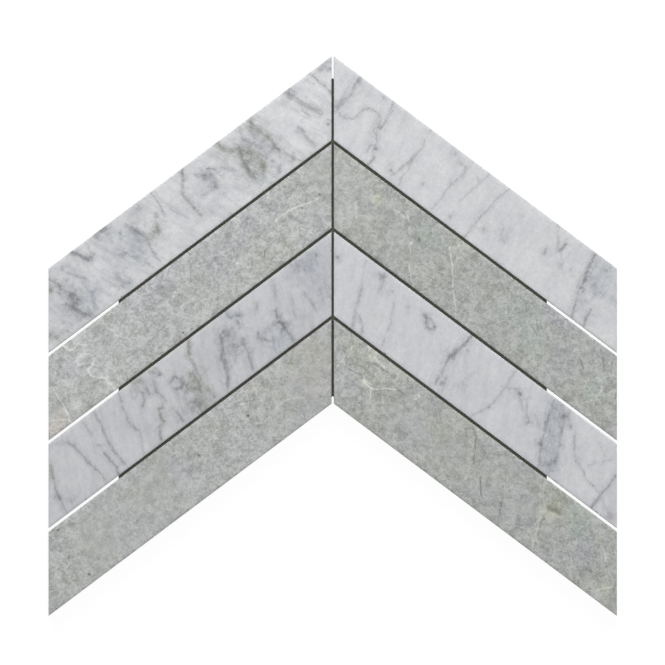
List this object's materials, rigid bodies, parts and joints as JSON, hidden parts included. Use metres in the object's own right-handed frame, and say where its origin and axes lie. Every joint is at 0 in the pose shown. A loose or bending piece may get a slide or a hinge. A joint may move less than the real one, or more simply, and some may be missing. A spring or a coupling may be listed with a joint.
{
  "type": "chevron mosaic wall tile",
  "caption": "Chevron mosaic wall tile: sawn strips of white and pale green marble in alternating courses that meet at a spine, bonded to a thin mesh backing.",
  "frame": {"origin": "middle of the sheet's outline, on the back of the mesh backing", "axes": "+X across the sheet to the right, +Y towards the point of the chevron, +Z out of the stone face"},
  "size_m": [0.3036, 0.299, 0.0101],
  "materials": {
    "white_marble": "satin",
    "green_marble": "satin",
    "backing": "matte"
  },
  "bodies": {
    "root": {"white_marble_upper_left": "white_marble", "white_marble_upper_right": "white_marble", "green_marble_upper_left": "green_marble", "green_marble_upper_right": "green_marble", "white_marble_lower_left": "white_marble", "white_marble_lower_right": "white_marble", "green_marble_lower_left": "green_marble", "green_marble_lower_right": "green_marble", "mesh_backing": "backing"}
  },
  "joints": []
}
